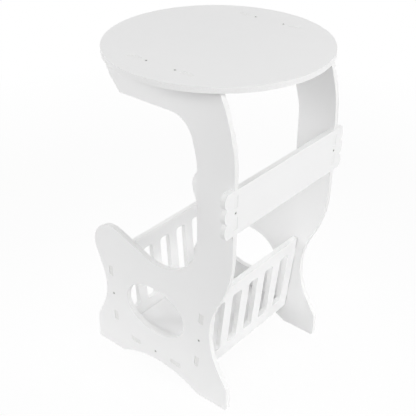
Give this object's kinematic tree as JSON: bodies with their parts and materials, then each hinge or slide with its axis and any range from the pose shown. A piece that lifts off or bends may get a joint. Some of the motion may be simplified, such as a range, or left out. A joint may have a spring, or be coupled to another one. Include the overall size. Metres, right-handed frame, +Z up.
{
  "type": "magazine table",
  "caption": "Round side table on curved side panels, with a slotted magazine rack held between them below and a scalloped cross board at the front.",
  "frame": {"origin": "on the floor under the middle of the round top", "axes": "+Z up, -Y towards the side with the cross board, +X to the right seen from that side"},
  "size_m": [0.3999, 0.4, 0.65],
  "materials": {
    "white_board": "white wood-plastic board, satin face and cut edges",
    "white_screw": "steel, white coated head with a bare cross recess"
  },
  "bodies": {
    "root": {"table_top": "white_board", "left_side_panel": "white_board", "right_side_panel": "white_board", "front_band": "white_board", "front_rack_panel": "white_board", "back_rack_panel": "white_board", "rack_floor": "white_board", "table_top_screws": "white_screw", "band_screws": "white_screw", "front_rack_screws": "white_screw", "back_rack_screws": "white_screw", "rack_floor_screws": "white_screw"}
  },
  "joints": []
}
